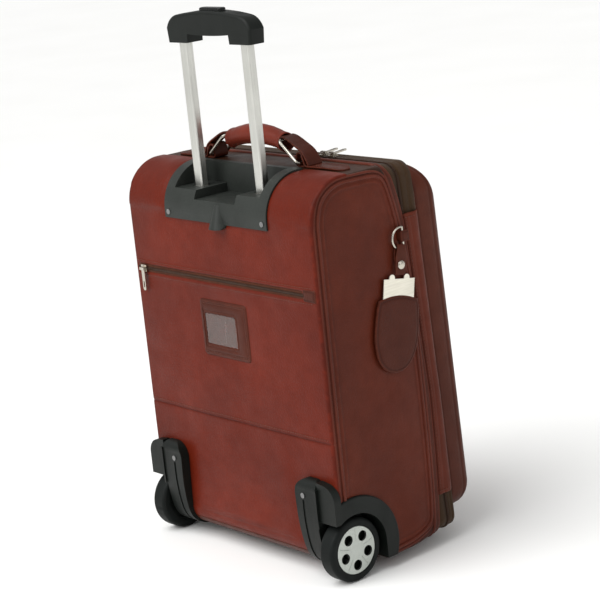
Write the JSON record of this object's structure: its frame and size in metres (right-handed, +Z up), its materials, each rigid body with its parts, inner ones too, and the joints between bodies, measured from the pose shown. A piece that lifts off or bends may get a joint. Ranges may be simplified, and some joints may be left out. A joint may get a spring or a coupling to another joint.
{
  "type": "wheeled case",
  "caption": "Upright leather carry-on case on two built-in wheels, with a telescopic trolley handle, carry handle, zipped lid and name tag.",
  "frame": {"origin": "bottom centre of the whole case's box, with wheels and feet on the floor", "axes": "+Z up, -Y the front with the lid, +Y the back with the trolley handle, +X the side where the lid hinges"},
  "size_m": [0.3752, 0.251, 0.6925],
  "materials": {
    "leather": "smooth red-brown hide with a soft sheen",
    "moulded_plastic": "fine-grained dark grey",
    "button_plastic": "satin dark grey",
    "aluminium_tube": "satin anodised",
    "bright_metal": "polished nickel",
    "steel": "plain turned",
    "cap_silver": "silver paint on plastic",
    "tyre_rubber": "matt dark grey",
    "zip_fabric": "woven brown tape",
    "lining_fabric": "plain woven brown cloth",
    "board": "plain sheet",
    "clear_window": "clear flexible sheet"
  },
  "bodies": {
    "case_body": {"back_panel": "leather", "top_panel": "leather", "bottom_panel": "leather", "side_panel_left": "leather", "side_panel_right": "leather", "body_piping": "leather", "body_lining": "lining_fabric", "stiffening_board": "board", "body_zip_tape": "zip_fabric", "zip_flaps": "leather", "handle_tray": "moulded_plastic", "back_screws": "steel", "outer_tubes": "aluminium_tube", "tube_base": "moulded_plastic", "wheel_housing_left": "moulded_plastic", "wheel_housing_right": "moulded_plastic", "wheel_axles": "steel", "front_feet": "moulded_plastic", "carry_chapes": "leather", "carry_straps": "leather", "id_frame": "leather", "id_window": "clear_window", "pocket_zip_tape": "zip_fabric", "pocket_tab": "leather", "tag_tab": "leather"},
    "trolley_lower": {"middle_tubes": "aluminium_tube"},
    "trolley_upper": {"inner_tubes": "aluminium_tube", "trolley_grip": "moulded_plastic"},
    "release": {"release_button": "button_plastic", "push_rods": "steel"},
    "lock_left": {"lock_pin_left": "steel"},
    "lock_right": {"lock_pin_right": "steel"},
    "wheel_left": {"tyre_left": "tyre_rubber", "hub_left": "moulded_plastic", "hub_cap_left": "cap_silver", "bearings_left": "steel"},
    "wheel_right": {"tyre_right": "tyre_rubber", "hub_right": "moulded_plastic", "hub_cap_right": "cap_silver", "bearings_right": "steel"},
    "carry_handle": {"carry_grip": "leather", "carry_rings": "bright_metal"},
    "lid": {"lid_panel": "leather", "lid_gusset": "leather", "lid_lining": "lining_fabric", "lid_zip_tape": "zip_fabric", "front_pocket": "leather", "front_zip_tape": "zip_fabric"},
    "main_slider_outer": {"main_slider_outer": "bright_metal"},
    "main_pull_outer": {"main_pull_outer": "bright_metal"},
    "main_slider_inner": {"main_slider_inner": "bright_metal"},
    "main_pull_inner": {"main_pull_inner": "bright_metal"},
    "front_slider": {"front_slider": "bright_metal"},
    "front_pull": {"front_pull": "bright_metal"},
    "pocket_slider": {"pocket_slider": "bright_metal"},
    "pocket_pull": {"pocket_pull": "bright_metal"},
    "tag_ring": {"tag_ring": "bright_metal"},
    "tag_strap": {"tag_strap": "leather"},
    "tag": {"tag_plate": "bright_metal", "tag_body": "leather"}
  },
  "joints": [
    {"name": "trolley_lower_slide", "type": "slide", "parent": "case_body", "child": "trolley_lower", "axis": [0, 0, 1], "range_m": [0, 0.25]},
    {"name": "trolley_upper_slide", "type": "slide", "parent": "trolley_lower", "child": "trolley_upper", "axis": [0, 0, 1], "range_m": [-0.178, 0.12]},
    {"name": "release_press", "type": "slide", "parent": "trolley_upper", "child": "release", "axis": [0, 0, -1], "range_m": [0, 0.004], "stiffness_N_per_m": 500, "springref_m": -0.003},
    {"name": "lock_left_draw", "type": "slide", "parent": "trolley_upper", "child": "lock_left", "axis": [1, 0, 0], "range_m": [0, 0.0025]},
    {"name": "lock_right_draw", "type": "slide", "parent": "trolley_upper", "child": "lock_right", "axis": [-1, 0, 0], "range_m": [0, 0.0025]},
    {"name": "wheel_left_spin", "type": "hinge", "parent": "case_body", "child": "wheel_left", "pos_m": [-0.1644, 0.08546, 0.04], "axis": [1, 0, 0], "continuous": true},
    {"name": "wheel_right_spin", "type": "hinge", "parent": "case_body", "child": "wheel_right", "pos_m": [0.1716, 0.08546, 0.04], "axis": [1, 0, 0], "continuous": true},
    {"name": "carry_handle_lift", "type": "slide", "parent": "case_body", "child": "carry_handle", "axis": [0, 0, 1], "range_m": [0, 0.008]},
    {"name": "lid_swing", "type": "hinge", "parent": "case_body", "child": "lid", "pos_m": [0.1816, -0.05714, 0.21456], "axis": [0, 0.0785, 0.9969], "range_deg": [0, 155]},
    {"name": "main_slider_outer_run", "type": "slide", "parent": "case_body", "child": "main_slider_outer", "axis": [1, 0, 0], "range_m": [-0.082, 0]},
    {"name": "main_slider_inner_run", "type": "slide", "parent": "case_body", "child": "main_slider_inner", "axis": [1, 0, 0], "range_m": [0, 0.188]},
    {"name": "main_pull_outer_turn", "type": "hinge", "parent": "main_slider_outer", "child": "main_pull_outer", "pos_m": [-0.0624, -0.03492, 0.49687], "axis": [0, 0.0785, 0.9969], "range_deg": [-70, 20]},
    {"name": "main_pull_inner_turn", "type": "hinge", "parent": "main_slider_inner", "child": "main_pull_inner", "pos_m": [-0.0464, -0.03492, 0.49687], "axis": [0, 0.0785, 0.9969], "range_deg": [-20, 70]},
    {"name": "front_slider_run", "type": "slide", "parent": "lid", "child": "front_slider", "axis": [1, 0, 0], "range_m": [0, 0.226]},
    {"name": "front_pull_turn", "type": "hinge", "parent": "front_slider", "child": "front_pull", "pos_m": [-0.1124, -0.11604, 0.36115], "axis": [0, 0.9992, -0.0401], "range_deg": [-70, 70]},
    {"name": "pocket_slider_run", "type": "slide", "parent": "case_body", "child": "pocket_slider", "axis": [1, 0, 0], "range_m": [-0.29, 0]},
    {"name": "pocket_pull_turn", "type": "hinge", "parent": "pocket_slider", "child": "pocket_pull", "pos_m": [0.1616, 0.11137, 0.36], "axis": [0, 1, 0], "range_deg": [-70, 70]},
    {"name": "tag_ring_swing", "type": "hinge", "parent": "case_body", "child": "tag_ring", "pos_m": [-0.1834, -0.02854, 0.404], "axis": [0, 0, 1], "range_deg": [0, 16]},
    {"name": "tag_strap_swing", "type": "hinge", "parent": "tag_ring", "child": "tag_strap", "pos_m": [-0.1834, -0.02253, 0.3914], "axis": [1, 0, 0], "range_deg": [-25, 8]},
    {"name": "tag_flip", "type": "hinge", "parent": "tag_strap", "child": "tag", "pos_m": [-0.1842, -0.01646, 0.35693], "axis": [0, 0.9848, 0.1736], "range_deg": [0, 75]}
  ],
  "couplings": [
    {"joint": "lock_left_draw", "follows": "release_press", "ratio": 0.625},
    {"joint": "lock_right_draw", "follows": "release_press", "ratio": 0.625}
  ]
}
